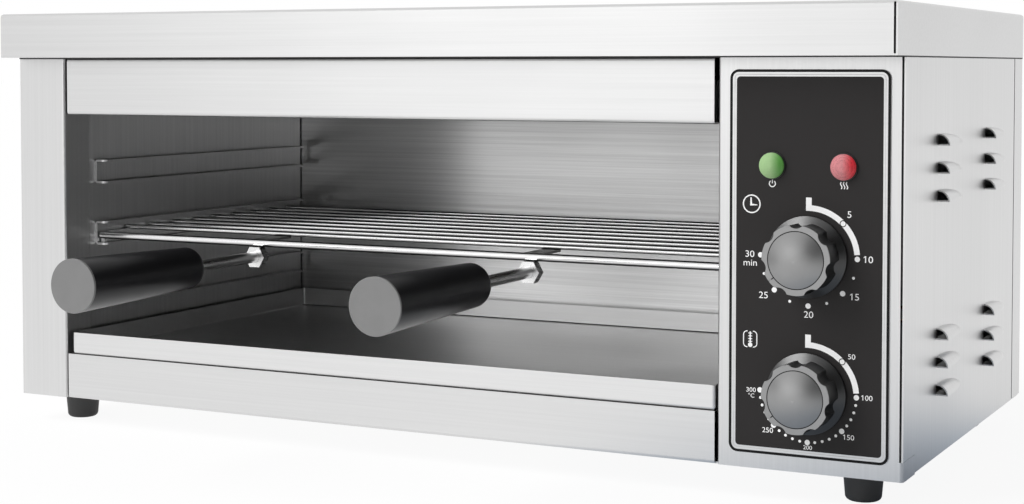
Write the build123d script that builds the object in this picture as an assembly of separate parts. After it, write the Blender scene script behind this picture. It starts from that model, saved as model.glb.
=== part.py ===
from build123d import *
import math
import os

os.makedirs("parts", exist_ok=True)

# Cabinet, in millimetres. Cabinet coordinates start at its left, front, lower corner of sheet metal.
body_w = 611.2
body_d = 302.6
body_h = 228.6
sheet = 1.0
bend_r = 1.5
seam = 0.6
butt_gap = 0.15
edge_round = 0.3
flange_w = 15.0
skirt_rise = 1.3

# Front of the cabinet
post_w = 39.2
return_d = 24.4
control_w = 106.0
fascia_h = 37.3
fascia_gap = 2.4
lintel_d = 22.0
apron_h = 29.9
apron_bend_r = 0.6
apron_gap = 1.5
ledge_d = 14.0
corner_tab_h = 10.8
corner_tab_d = 24.7
corner_slot = 1.2

# Top cover
cover_h = 30.0
cover_overhang = 17.5
cover_gap = 0.8
cover_tab_w = 30.0
cover_tab_h = 20.0
cover_tabs = 3

# Back panel
wrap_d = 25.4
wrap_gap = 2.0
strip_w = 24.0
vent_slot_w = 5.0
vent_slot_h = 36.0
vent_pitch = 12.0
vent_count = 5
vent_z = 105.0

# Pressed louvres of the right side panel
louvre_r = 6.7
louvre_len = 50.0
louvre_wall = 0.8
louvre_pitch = 16.0
louvre_rows = 3
louvre_mouths = (71.1, 190.6)
louvre_groups = (36.0, 146.8)

# Grill chamber
back_space = 15.1
ceiling_space = 12.6
corner_gap = 1.2
splice_w = 15.0

# Rack guides
guide_h = 16.3
guide_w = 9.3
guide_sheet = 1.5
guide_start = 31.0
guide_back_gap = 11.5
guide_pitch = 42.3
guide_low = 58.7
guide_levels = 3
guide_corner_r = 4.0

# Crumb tray
tray_h = 14.4
tray_gap_left = 4.9
tray_gap_right = 1.4
tray_sheet = 0.8
tray_bend_r = 1.8
tray_edge_round = 0.35
tray_set_back = 0.3
tray_back_gap = 4.5
runner_w = 13.0
runner_leg = 21.0
slide_gap = 0.2

# Wire rack
rail_d = 5.0
rod_d = 3.0
rod_pitch = 25.0
rail_y = 34.0
rod_start = 28.0
rack_back_gap = 19.5
rack_side_gap = 0.8
rack_rise = 6.6
side_bar_w = 3.0
rail_end_round = 0.8
weld_sink = 0.2

# Rack handles
handle_spacing = 200.0
handle_reach = 151.0
stud_d = 7.2
stud_clear = 0.05
grip_d_front = 31.4
grip_d_rear = 25.6
grip_len = 111.4
grip_round = 6.0
grip_cap_h = 1.5
grip_bore_len = 95.0
nut_af = 13.0
nut_h = 6.5
nut_lead = 5.0
strap_w = 12.0
strap_t = 1.5
strap_tail = 1.5
stud_end = 1.5

# Control label, lamps, dials
label_w = 90.8
label_h = 213.4
label_t = 0.8
label_r = 5.0
label_bottom = 8.6
label_shift = -0.3
dial_shift = -0.6
lamp_spacing = 40.6
lamp_z = 169.1
lamp_hole_d = 12.0
lamp_clear = 0.2
lamp_rim_d = 15.2
lamp_rim_h = 1.0
lamp_lens_d = 14.2
lamp_lens_h = 3.6
lamp_dome_h = 2.4
lamp_barrel_len = 28.0
timer_z = 119.4
thermostat_z = 44.2
shaft_d = 6.0
shaft_hole_d = 9.0
shaft_run_clear = 0.05
shaft_seat = 12.0

# Knobs
knob_skirt_d = 45.0
knob_lobe_d = 38.2
knob_valley_d = 34.4
knob_lobes = 7
knob_scallop_r = 5.2
knob_lobe_round = 0.8
knob_gap = 0.7
knob_rim_h = 1.5
knob_cone_h = 4.0
knob_h = 20.5
knob_cap_t = 1.0
knob_dome_d = 30.8
knob_dome_h = 4.0
knob_groove = 0.5
knob_bore_len = 13.0
pointer_angle = 231.4
pointer_w = 0.6

# Switch gear behind the control panel
timer_w = 46.0
timer_len = 40.0
timer_round = 5.0
thermostat_d = 40.0
thermostat_len = 30.0
thermostat_lug_w = 6.3
thermostat_lug_t = 0.8
thermostat_lug_len = 9.0
thermostat_lug_pitch = 14.0
bulb_d = 6.0
bulb_len = 90.0
bulb_wall_gap = 36.0
bulb_back_gap = 25.5
bulb_drop = 8.0
capillary_d = 2.0
capillary_bend = 10.0
capillary_x = 24.0
clip_w = 8.0
clip_inset = 13.0
clip_wall = 2.0

# Heating elements
element_d = 6.5
element_end_straight = 10.0
element_count = 2
element_front_gap = 70.0
element_back_gap = 67.5
element_drop = 12.0
element_left = 20.0
element_clear = 0.1
element_tail = 12.0
hanger_edge = 14.0
hanger_left = 60.0
hanger_right = 175.0
collar_d = 16.0
collar_h = 8.0
bead_d = 6.0
bead_h = 5.0
pin_d = 3.6
pin_len = 13.0

# Mains entry
terminal_w = 56.0
terminal_d = 20.0
terminal_h = 18.0
terminal_poles = 4
terminal_rib = 4.2
terminal_bridge = 6.0
terminal_step = 9.0
terminal_from_right = 15.0
terminal_foot_gap = 8.0
gland_from_right = 34.0
gland_z = 36.0
gland_hex = 24.0
gland_flange_h = 5.0
gland_proud = 20.0
gland_dome_d = 20.0
gland_thread_d = 16.0
gland_bore_d = 9.0
gland_nut_h = 5.0
gland_clear = 0.2

# Feet and fasteners
foot_h = 17.8
foot_d_top = 23.0
foot_d_bottom = 20.0
foot_round = 3.0
foot_inset_x = 29.6
foot_inset_front = 27.9
foot_inset_rear = 35.6
foot_recess_d = 10.0
foot_recess_h = 9.0
screw_d = 5.0
screw_clear = 0.3
screw_head_d = 8.4
screw_head_h = 3.0
screw_end = 5.0
cover_screw_d = 4.0
cover_screw_head_d = 7.5
cover_screw_head_h = 2.2
cover_screw_len = 6.0
cover_screw_rise = 12.0

# Places that follow from the sizes above
half = sheet / 2
control_x = body_w - control_w
chamber_mid = (post_w + control_x) / 2
chamber_d = body_d - back_space
chamber_h = body_h - ceiling_space
side_end = body_d - wrap_d - wrap_gap
pad_start = return_d + flange_w
pad_end = side_end - flange_w
fascia_z = body_h - fascia_h
runner_z = apron_h
tray_z = runner_z + slide_gap
tray_end = chamber_d - tray_back_gap
guide_bottoms = [guide_low + guide_pitch * level for level in range(guide_levels)]
guide_end = chamber_d - guide_back_gap
rack_level = guide_bottoms[guide_levels // 2]
rack_z = rack_level + rack_rise
rack_back_y = chamber_d - rack_back_gap
rod_count = int((rack_back_y - rail_y - rod_start) // rod_pitch) + 1
rack_left = post_w + guide_sheet + rack_side_gap
rack_right = control_x - guide_sheet - rack_side_gap
rod_z = rack_z + rail_d / 2 + rod_d / 2 - weld_sink
handle_z = rack_z - rail_d / 2 - nut_af / 2
handle_xs = [chamber_mid + side * handle_spacing / 2 for side in (-1, 1)]
nut_front = rail_y - nut_lead
grip_rear = grip_len - handle_reach
label_x = control_x + control_w / 2 + label_shift
dial_x = control_x + control_w / 2 + dial_shift
lamp_xs = [dial_x + side * lamp_spacing / 2 for side in (-1, 1)]
element_z = chamber_h - element_drop
element_legs = 2 * element_count
element_leg_pitch = (chamber_d - element_front_gap - element_back_gap) / (element_legs - 1)
element_bend_r = (element_leg_pitch - element_end_straight) / 2
element_ys = [element_front_gap + element_leg_pitch * leg for leg in range(element_legs)]
hanger_places = (post_w + hanger_left, control_x - hanger_right)
foot_xs = (foot_inset_x, body_w - foot_inset_x)
foot_ys = (foot_inset_front, body_d - foot_inset_rear)
foot_places = [(x, y) for y in foot_ys for x in foot_xs]
gland_x = body_w - gland_from_right
bulb_z = chamber_h - bulb_drop
bulb_y = chamber_d - bulb_back_gap
bulb_start = control_x - bulb_wall_gap - bulb_len
cover_tab_xs = [body_w * (place + 0.5) / cover_tabs for place in range(cover_tabs)]
cover_screw_z = body_h + cover_screw_rise

# The part's origin: middle of the whole part's box, on the counter.
cabinet = Pos(
    -(body_w + louvre_r) / 2,
    (handle_reach - body_d - gland_proud) / 2,
    foot_h,
)


def save(node, *solids):
    """Write one node, moved from the cabinet's corner to the part's origin."""
    pieces = [solid for shape in solids for solid in shape.solids()]
    shape = pieces[0] if len(pieces) == 1 else Compound(pieces)
    export_step(cabinet * shape, f"parts/{node}.step")


def block(x0, x1, y0, y1, z0, z1):
    """Box between two corners."""
    return Pos((x0 + x1) / 2, (y0 + y1) / 2, (z0 + z1) / 2) * Box(x1 - x0, y1 - y0, z1 - z0)


def fold(points, thickness=sheet, radius=bend_r):
    """Section of a sheet folded along the points, which run in the middle of the sheet."""
    return trace(FilletPolyline(*points, radius=radius), thickness)


def along_x(section, x0, x1):
    """Section drawn in Y and Z, run from x0 to x1."""
    return extrude(Plane.YZ.offset(x0) * section, x1 - x0)


def along_y(section, y0, y1):
    """Section drawn in X and Z, run from y0 to y1."""
    return extrude(Plane.XZ.offset(-y0) * section, y0 - y1)


def along_z(section, z0, z1):
    """Section drawn in X and Y, run from z0 to z1."""
    return extrude(Plane.XY.offset(z0) * section, z1 - z0)


def rod_x(x0, x1, y, z, diameter):
    """Round bar along X."""
    return along_x(Pos(y, z) * Circle(diameter / 2), x0, x1)


def rod_y(y0, y1, x, z, diameter):
    """Round bar along Y."""
    return along_y(Pos(x, z) * Circle(diameter / 2), y0, y1)


def rod_z_bar(z0, z1, x, y, diameter):
    """Round bar along Z."""
    return along_z(Pos(x, y) * Circle(diameter / 2), z0, z1)


def turned_y(points, x, z):
    """Solid turned about a front-to-back axis; the points are (radius, y)."""
    return Pos(x, 0, z) * revolve(make_face(Polyline(*points, close=True)), Axis.Y)


def dome_arc(radius, edge, crown):
    """Arc of a shallow dome about a front-to-back axis, from its crown to its edge, as (radius, y)."""
    height = edge - crown
    sphere_r = (radius ** 2 + height ** 2) / (2 * height)
    mid_y = crown + sphere_r - math.sqrt(sphere_r ** 2 - (radius / 2) ** 2)
    return ThreePointArc((0, crown), (radius / 2, mid_y), (radius, edge))


def mirror_chamber(shape):
    """The same piece on the other side of the chamber."""
    return mirror(shape, about=Plane.YZ.offset(chamber_mid))


# Top cover: a deep folded lid with returns at the front and sides that sit on pads on the cabinet's flanges.
def top_cover():
    front = -cover_overhang
    top = body_h + cover_h
    low = body_h + cover_gap
    lid = block(0, body_w, front, body_d, low, top)
    lid = fillet(lid.edges().group_by(Axis.Z)[-1], bend_r + half)
    lid -= block(sheet, body_w - sheet, front + sheet, body_d - sheet, low + sheet, top - sheet)
    lid -= block(flange_w, body_w - flange_w, flange_w, body_d - sheet, low, low + sheet)
    slot_end = body_w - sheet
    lid -= block(slot_end - corner_slot, slot_end, front, front + sheet, low + sheet, top - sheet)
    lid -= block(0, sheet, front + sheet, front + sheet + seam, low + sheet, top - bend_r - sheet)
    for x in cover_tab_xs:
        lid -= rod_y(body_d - sheet, body_d, x, cover_screw_z, cover_screw_d + screw_clear)
    return lid


# Left side panel: side, front post and the post's return in one folded sheet.
def left_side_panel():
    inner = post_w - half
    line = [(inner, return_d), (inner, half), (half, half), (half, side_end)]
    panel = along_z(fold(line), 0, body_h)
    panel -= block(post_w - sheet, post_w, sheet, return_d, 0, sheet)
    panel -= block(0, sheet, return_d, side_end, 0, skirt_rise)
    top_edges = panel.edges().filter_by(Axis.Y).group_by(Axis.Z)[-1]
    panel = fillet(top_edges.sort_by(Axis.X)[0], edge_round)
    panel += block(sheet, flange_w, return_d, side_end, body_h - sheet, body_h)
    panel += block(2 * sheet, flange_w, pad_start, pad_end, body_h, body_h + cover_gap)
    return panel


def louvre_section(radius, length):
    """Quarter ellipse as one curve: the mouth's radius outwards, the hood's length to the back."""
    pull = 4 * (math.sqrt(2) - 1) / 3
    curve = Bezier((radius, 0), (radius, pull * length), (pull * radius, length), (0, length))
    return make_face([Line((0, 0), (radius, 0)), curve, Line((0, length), (0, 0))])


def louvre_hood():
    """Pressed scoop that opens to the front: an eighth of a spheroid standing on a flat floor."""
    return revolve(louvre_section(louvre_r, louvre_len), Axis((0, 0, 0), (0, -1, 0)), 90)


def louvre_hollow():
    """Air way through one hood: its inside above the floor, and the hole in the panel behind it."""
    section = louvre_section(louvre_r - louvre_wall, louvre_len - louvre_wall)
    inside = revolve(section, Axis((0, 0, 0), (0, -1, 0)), 90)
    inside -= block(0, louvre_r, 0, louvre_len, 0, louvre_wall)
    hole = extrude(inside.faces().sort_by(Axis.X)[0], sheet, dir=(-1, 0, 0))
    return inside, hole


# Right side panel: flat sheet with two columns of louvres in two groups.
def right_side_panel():
    inner = body_w - sheet
    panel = block(inner, body_w, 0, side_end, skirt_rise, body_h)
    top_edges = panel.edges().filter_by(Axis.Y).group_by(Axis.Z)[-1]
    panel = fillet(top_edges.sort_by(Axis.X)[-1], edge_round)
    panel -= block(inner, body_w, 0, corner_tab_d + butt_gap, skirt_rise, corner_tab_h + butt_gap)
    panel += block(body_w - flange_w, inner, return_d, side_end, body_h - sheet, body_h)
    panel += block(body_w - flange_w, inner - sheet, pad_start, pad_end, body_h, body_h + cover_gap)
    hood = louvre_hood()
    inside, hole = louvre_hollow()
    for y in louvre_mouths:
        for low in louvre_groups:
            for row in range(louvre_rows):
                place = Pos(body_w, y, low + row * louvre_pitch)
                panel += place * hood
                panel -= place * inside
                panel -= place * hole
    return panel


# Strips that close the joints between the side panels and the back panel's wraps.
def rear_corner_strip(x):
    return block(x, x + sheet, side_end - strip_w / 2, side_end + strip_w / 2, flange_w, body_h - flange_w)


# Back panel: wraps both rear corners, with cooling slots behind the control box.
def back_panel():
    start = body_d - wrap_d
    line = [(half, start), (half, body_d - half), (body_w - half, body_d - half), (body_w - half, start)]
    panel = along_z(fold(line), skirt_rise, body_h)
    panel += block(2 * flange_w, body_w - 2 * flange_w, body_d - flange_w, body_d - half,
                   body_h - sheet, body_h)
    for x in cover_tab_xs:
        tab = block(x - cover_tab_w / 2, x + cover_tab_w / 2, body_d - 2 * sheet, body_d - sheet,
                    body_h - sheet, body_h + cover_tab_h)
        hole = rod_y(body_d - 2 * sheet, body_d - sheet, x, cover_screw_z, cover_screw_d + screw_clear)
        panel += tab - hole
    slot = SlotOverall(vent_slot_h, vent_slot_w, rotation=90)
    middle = control_x + control_w / 2
    for column in range(vent_count):
        x = middle + (column - (vent_count - 1) / 2) * vent_pitch
        panel -= along_y(Pos(x, vent_z) * slot, body_d - sheet, body_d)
    panel -= rod_y(body_d - sheet, body_d, gland_x, gland_z, gland_thread_d + gland_clear)
    return panel


# Base pan: floor, front apron with the tray's ledge, rear and side flanges.
def base_pan():
    rear = body_d - sheet - half
    line = [(ledge_d, apron_h - half), (half, apron_h - half), (half, half), (rear, half), (rear, flange_w)]
    pan = along_x(fold(line, radius=(apron_bend_r, bend_r, bend_r)), sheet, body_w - sheet)
    square = half + apron_bend_r
    pan += block(sheet, body_w - sheet, 0, square, apron_h - square, apron_h)
    for x0, x1 in ((0, post_w + apron_gap), (control_x - apron_gap, body_w)):
        pan -= block(x0, x1, 0, ledge_d, sheet, apron_h)
        pan -= block(x0, x1, 0, 2 * sheet, 0, sheet)
    for x0, x1 in ((0, flange_w), (body_w - flange_w, body_w)):
        pan -= block(x0, x1, body_d - flange_w, body_d, sheet, flange_w)
    for x in (sheet, body_w - 2 * sheet):
        pan += block(x, x + sheet, return_d + flange_w, side_end - 2 * flange_w, 0, flange_w)
    for x, y in foot_places:
        pan -= rod_z_bar(0, sheet, x, y, screw_d + screw_clear)
    return pan


# Upper fascia: front sheet folded back as the lintel under the heater space.
def upper_fascia():
    line = [
        (flange_w, body_h - half),
        (half, body_h - half),
        (half, fascia_z + half),
        (lintel_d, fascia_z + half),
        (lintel_d, chamber_h),
    ]
    return along_x(fold(line), post_w + fascia_gap, control_x - fascia_gap)


# Control front panel: front sheet with its chamber-side return and the tab round the lower corner.
def control_front_panel():
    left = control_x + half
    right = body_w - half
    low = fold([(left, return_d), (left, half), (right, half), (right, corner_tab_d)])
    high = fold([(left, return_d), (left, half), (body_w - sheet - corner_slot, half)])
    panel = along_z(low, 0, corner_tab_h) + along_z(high, corner_tab_h, body_h)
    panel -= block(control_x, control_x + sheet, sheet, return_d, 0, sheet)
    panel += block(control_x + 2 * sheet, body_w - 3 * sheet, half, flange_w, body_h - sheet, body_h)
    for x in lamp_xs:
        panel -= rod_y(0, sheet, x, lamp_z, lamp_hole_d)
    for z in (timer_z, thermostat_z):
        panel -= rod_y(0, sheet, dial_x, z, shaft_hole_d)
    return panel


# Control label: thin plate with rounded corners, cut for lamps and shafts.
def control_label():
    plate = RectangleRounded(label_w, label_h, label_r)
    plate = along_y(Pos(label_x, label_bottom + label_h / 2) * plate, -label_t, 0)
    for x in lamp_xs:
        plate -= rod_y(-label_t, 0, x, lamp_z, lamp_hole_d)
    for z in (timer_z, thermostat_z):
        plate -= rod_y(-label_t, 0, dial_x, z, shaft_hole_d)
    return plate


# Chamber walls: flat sheets that stand on the base pan and carry the ceiling.
def chamber_left_wall():
    start = return_d + butt_gap
    wall = block(post_w - sheet, post_w, start, chamber_d - corner_gap, sheet, chamber_h)
    splice = block(post_w - 2 * sheet, post_w - sheet, start - splice_w, start + splice_w, apron_h, fascia_z)
    return wall + splice


def chamber_partition():
    wall = mirror_chamber(chamber_left_wall())
    for y in element_ys:
        wall -= rod_x(control_x, control_x + sheet, y, element_z, element_d + 2 * element_clear)
    wall -= rod_x(control_x, control_x + sheet, bulb_y, bulb_z, 2 * capillary_d)
    return wall


def chamber_back_wall():
    return block(post_w - sheet, control_x + sheet, chamber_d, chamber_d + sheet, sheet, chamber_h)


def chamber_ceiling():
    rear = chamber_d + sheet
    plate = block(post_w - sheet, control_x + sheet, return_d + seam, rear, chamber_h, chamber_h + sheet)
    return plate + block(post_w + seam, control_x - seam, lintel_d - half, rear, chamber_h, chamber_h + sheet)


# Rack guides: U-shaped channels, open to the chamber, with rounded front corners.
def rack_guide(bottom):
    web = post_w + guide_sheet / 2
    tip = post_w + guide_w
    low = bottom + guide_sheet / 2
    high = bottom + guide_h - guide_sheet / 2
    section = fold([(tip, low), (web, low), (web, high), (tip, high)], guide_sheet, guide_sheet)
    guide = along_y(section, guide_start, guide_end)
    corners = guide.edges().filter_by(Axis.Z).group_by(Axis.Y)[0].group_by(Axis.X)[-1]
    return fillet(corners, guide_corner_r)


# Tray runners: angles on the chamber walls that carry the crumb tray.
def tray_runner():
    line = [
        (post_w + half, runner_z - runner_leg),
        (post_w + half, runner_z - half),
        (post_w + runner_w, runner_z - half),
    ]
    return along_y(fold(line), return_d + seam, chamber_d - corner_gap)


# Crumb tray: shallow pan with upstanding lips and rounded bends.
def crumb_tray():
    left = post_w + tray_gap_left
    right = control_x - tray_gap_right
    top = tray_z + tray_h
    pan = block(left, right, tray_set_back, tray_end, tray_z, top)
    bends = pan.edges().group_by(Axis.Z)[0] + pan.edges().filter_by(Axis.Z)
    pan = fillet(bends, tray_bend_r)
    hollow = block(left + tray_sheet, right - tray_sheet, tray_set_back + tray_sheet, tray_end - tray_sheet,
                   tray_z + tray_sheet, top)
    bends = hollow.edges().group_by(Axis.Z)[0] + hollow.edges().filter_by(Axis.Z)
    pan -= fillet(bends, tray_bend_r - tray_sheet)
    return fillet(pan.faces().sort_by(Axis.Z)[-1].outer_wire().edges(), tray_edge_round)


# Wire rack: front and back rails and flat side bars that run in the guides, with rods welded across.
def wire_rack():
    rack = Part()
    for y in (rail_y, rack_back_y):
        rail = rod_x(rack_left, rack_right, y, rack_z, rail_d)
        rack += fillet(rail.edges().filter_by(GeomType.CIRCLE), rail_end_round)
    bar_bottom = rack_level + guide_sheet + slide_gap
    bar_top = rod_z - rod_d / 2 + weld_sink
    for x in (rack_left, rack_right - side_bar_w):
        rack += block(x, x + side_bar_w, rail_y, rack_back_y, bar_bottom, bar_top)
    for rod in range(rod_count):
        rack += rod_x(rack_left, rack_right, rail_y + rod_start + rod * rod_pitch, rod_z, rod_d)
    return rack


# Handle fixing: a nut under the front rail for the stud, and a strap from the rail to the first rod.
def handle_nut(x):
    """Hex nut with two flats level, the upper one against the rail."""
    hexagon = Pos(x, handle_z) * RegularPolygon(nut_af / 2, 6, major_radius=False)
    nut = along_y(hexagon, nut_front, nut_front + nut_h)
    return nut - rod_y(nut_front, nut_front + nut_h, x, handle_z, stud_d + 2 * stud_clear)


def handle_strap(x):
    top = rod_z - rod_d / 2
    return block(x - strap_w / 2, x + strap_w / 2, rail_y + rail_d / 2, rail_y + rod_start + strap_tail,
                 top - strap_t, top)


def handle_stud(x):
    return rod_y(grip_rear - grip_bore_len, nut_front + nut_h + stud_end, x, handle_z, stud_d)


# Grip: tapered bar with a rounded rear end and a blind bore for the stud.
def handle_grip(x):
    front = -handle_reach + grip_cap_h
    body = turned_y(
        [(0, front), (grip_d_front / 2, front), (grip_d_rear / 2, grip_rear), (0, grip_rear)], x, handle_z)
    body = fillet(body.edges().group_by(Axis.Y)[-1], grip_round)
    bore = rod_y(grip_rear - grip_bore_len, grip_rear, x, handle_z, stud_d + 2 * stud_clear)
    return body - bore


def grip_end_cap(x):
    return rod_y(-handle_reach, -handle_reach + grip_cap_h, x, handle_z, grip_d_front)


# Knob outline: a disc with scallops cut out of its rim.
def knob_outline():
    disc = Circle(knob_lobe_d / 2)
    centre_r = knob_valley_d / 2 + knob_scallop_r
    disc -= PolarLocations(centre_r, knob_lobes, start_angle=90) * Circle(knob_scallop_r)
    return fillet(disc.vertices(), knob_lobe_round)


# Knob: flared skirt, lobed grip and a blind bore for the shaft.
def knob_body(z):
    back = -label_t - knob_gap
    face = back - knob_h
    cone = back - knob_rim_h
    lobe_base = cone - knob_cone_h
    rim_r = knob_skirt_d / 2
    points = [(0, back), (rim_r, back), (rim_r, cone), (knob_valley_d / 2, lobe_base), (0, lobe_base)]
    skirt = turned_y(points, dial_x, z)
    lobes = along_y(Pos(dial_x, z) * knob_outline(), face + knob_cap_t, cone)
    bore = rod_y(back - knob_bore_len, back, dial_x, z, shaft_d + 2 * shaft_run_clear)
    return skirt + lobes - bore


# Knob cap: lobed front plate with a shallow dome, a groove round it and the pointer's groove.
def knob_cap(z):
    face = -label_t - knob_gap - knob_h
    crown = face - knob_dome_h
    dome_r = knob_dome_d / 2
    groove_r = dome_r + knob_groove
    dome = dome_arc(dome_r, face, crown)
    rest = Polyline(
        (dome_r, face),
        (dome_r, face + knob_groove),
        (groove_r, face + knob_groove),
        (groove_r, face),
        (knob_lobe_d, face),
        (knob_lobe_d, crown - knob_cap_t),
        (0, crown - knob_cap_t),
        (0, crown),
    )
    waste = Pos(dial_x, 0, z) * revolve(make_face([dome, *rest.edges()]), Axis.Y)
    cap = along_y(Pos(dial_x, z) * knob_outline(), crown, face + knob_cap_t) - waste
    mark = Rot(0, pointer_angle, 0) * block(-pointer_w / 2, pointer_w / 2, face, face + knob_groove,
                                            groove_r - knob_groove / 2, knob_lobe_d)
    return cap - Pos(dial_x, 0, z) * mark


def control_shaft(z):
    back = -label_t - knob_gap
    return rod_y(back - knob_bore_len, sheet + shaft_seat, dial_x, z, shaft_d)


def shaft_socket(z):
    return rod_y(sheet, sheet + shaft_seat, dial_x, z, shaft_d + 2 * shaft_run_clear)


# Timer: square clockwork case on the back of the control panel.
def timer_body():
    case = RectangleRounded(timer_w, timer_w, timer_round)
    case = along_y(Pos(dial_x, timer_z) * case, sheet, sheet + timer_len)
    case = fillet(case.edges().group_by(Axis.Y)[-1], timer_round / 2)
    return case - shaft_socket(timer_z)


# Thermostat: round case with spade terminals at the back.
def thermostat_body():
    rear = sheet + thermostat_len
    case = rod_y(sheet, rear, dial_x, thermostat_z, thermostat_d)
    for side in (-1, 1):
        x = dial_x + side * thermostat_lug_pitch / 2
        case += block(x - thermostat_lug_t / 2, x + thermostat_lug_t / 2, rear, rear + thermostat_lug_len,
                      thermostat_z - thermostat_lug_w / 2, thermostat_z + thermostat_lug_w / 2)
    return case - shaft_socket(thermostat_z)


# Thermostat bulb under the ceiling, and its capillary through the partition to the case.
def thermostat_bulb():
    return rod_x(bulb_start, bulb_start + bulb_len, bulb_y, bulb_z, bulb_d)


def thermostat_capillary():
    rear = sheet + thermostat_len
    down_x = control_x + capillary_x
    entry_z = thermostat_z + thermostat_d / 2 - 2 * capillary_d
    points = [
        (bulb_start + bulb_len, bulb_y, bulb_z),
        (down_x, bulb_y, bulb_z),
        (down_x, bulb_y, entry_z),
        (dial_x, bulb_y, entry_z),
        (dial_x, rear, entry_z),
    ]
    path = FilletPolyline(*points, radius=capillary_bend)
    return sweep(Plane(origin=path @ 0, z_dir=path % 0) * Circle(capillary_d / 2), path)


def bulb_clip(x):
    """Loop that hangs the bulb from the ceiling."""
    loop_d = bulb_d + 2 * clip_wall
    section = Circle(loop_d / 2) + Pos(0, bulb_drop / 2) * Rectangle(loop_d / 2, bulb_drop)
    section -= Circle(bulb_d / 2 + element_clear)
    return along_x(Pos(bulb_y, bulb_z) * section, x, x + clip_w)


# Heating element: a hairpin tube across the chamber, ends through the partition.
def heating_element(pair):
    near = element_ys[2 * pair]
    far = element_ys[2 * pair + 1]
    left = post_w + element_left
    right = control_x + sheet + element_tail
    points = [
        (right, near, element_z),
        (left, near, element_z),
        (left, far, element_z),
        (right, far, element_z),
    ]
    path = FilletPolyline(*points, radius=element_bend_r)
    return sweep(Plane(origin=path @ 0, z_dir=path % 0) * Circle(element_d / 2), path)


def element_hanger(x):
    """Upright strip under the ceiling with a hole for each leg."""
    strip = block(x, x + sheet, element_ys[0] - hanger_edge, element_ys[-1] + hanger_edge,
                  element_z - hanger_edge / 2, chamber_h)
    for y in element_ys:
        strip -= rod_x(x, x + sheet, y, element_z, element_d + 2 * element_clear)
    return strip


def element_collar(y):
    start = control_x + sheet
    collar = rod_x(start, start + collar_h, y, element_z, collar_d)
    return collar - rod_x(start, start + collar_h, y, element_z, element_d + 2 * element_clear)


def element_terminal(y):
    start = control_x + sheet + element_tail
    bead = rod_x(start, start + bead_h, y, element_z, bead_d)
    return bead + rod_x(start + bead_h, start + bead_h + pin_len, y, element_z, pin_d)


# Pilot lamps: rim and barrel in one piece, with a domed lens on the rim.
def lamp_barrel(x):
    face = -label_t
    rim = rod_y(face - lamp_rim_h, face, x, lamp_z, lamp_rim_d)
    return rim + rod_y(face, lamp_barrel_len, x, lamp_z, lamp_hole_d - 2 * lamp_clear)


def lamp_lens(x):
    back = -label_t - lamp_rim_h
    crown = back - lamp_lens_h
    edge = crown + lamp_dome_h
    radius = lamp_lens_d / 2
    sides = Polyline((radius, edge), (radius, back), (0, back), (0, crown))
    section = make_face([dome_arc(radius, edge, crown), *sides.edges()])
    return Pos(x, 0, lamp_z) * revolve(section, Axis.Y)


# Terminal block on the floor of the control box, with a raised wall between poles.
def terminal_block():
    right = body_w - terminal_from_right
    back = foot_ys[1] - terminal_foot_gap
    body = block(right - terminal_w, right, back - terminal_d, back, sheet, sheet + terminal_h)
    pole = terminal_w / terminal_poles
    reach = (terminal_d - terminal_bridge) / 2
    for place in range(terminal_poles):
        left = right - terminal_w + place * pole + terminal_rib / 2
        for y in (back - terminal_d, back - reach):
            body -= block(left, left + pole - terminal_rib, y, y + reach,
                          sheet + terminal_h - terminal_step, sheet + terminal_h)
    return body


# Cable gland: hex flange, domed nut and thread, with the cable's bore.
def cable_gland():
    flange_end = body_d + gland_flange_h
    tip = body_d + gland_proud
    flange = Pos(gland_x, gland_z) * RegularPolygon(gland_hex / 2, 6, major_radius=False)
    gland = along_y(flange, body_d, flange_end)
    dome = rod_y(flange_end, tip, gland_x, gland_z, gland_dome_d)
    gland += fillet(dome.edges().group_by(Axis.Y)[-1], (gland_dome_d - gland_bore_d) / 4)
    inner = body_d - sheet - gland_nut_h - sheet
    gland += rod_y(inner, body_d, gland_x, gland_z, gland_thread_d)
    return gland - rod_y(inner, tip, gland_x, gland_z, gland_bore_d)


def gland_nut():
    rear = body_d - sheet
    nut = Pos(gland_x, gland_z) * RegularPolygon(gland_hex / 2, 6, major_radius=False)
    nut = along_y(nut, rear - gland_nut_h, rear)
    return nut - rod_y(rear - gland_nut_h, rear, gland_x, gland_z, gland_thread_d + gland_clear)


# Rubber foot: tapered, rounded below, with a recess for its screw.
def foot(x, y):
    outline = Polyline((0, 0), (foot_d_top / 2, 0), (foot_d_bottom / 2, -foot_h), (0, -foot_h), close=True)
    body = revolve(Plane.XZ * make_face(outline), Axis.Z)
    body = fillet(body.edges().group_by(Axis.Z)[0], foot_round)
    body -= rod_z_bar(-foot_h, -foot_h + foot_recess_h, 0, 0, foot_recess_d)
    body -= rod_z_bar(-foot_h, 0, 0, 0, screw_d + screw_clear)
    return Pos(x, y, 0) * body


def foot_screw(x, y):
    seat = -foot_h + foot_recess_h
    head = rod_z_bar(seat - screw_head_h, seat, x, y, screw_head_d)
    return head + rod_z_bar(seat, sheet + screw_end, x, y, screw_d)


def cover_screw(x):
    head = rod_y(body_d, body_d + cover_screw_head_h, x, cover_screw_z, cover_screw_head_d)
    head = fillet(head.edges().group_by(Axis.Y)[-1], cover_screw_head_h / 2)
    return head + rod_y(body_d - cover_screw_len, body_d, x, cover_screw_z, cover_screw_d)


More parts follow.
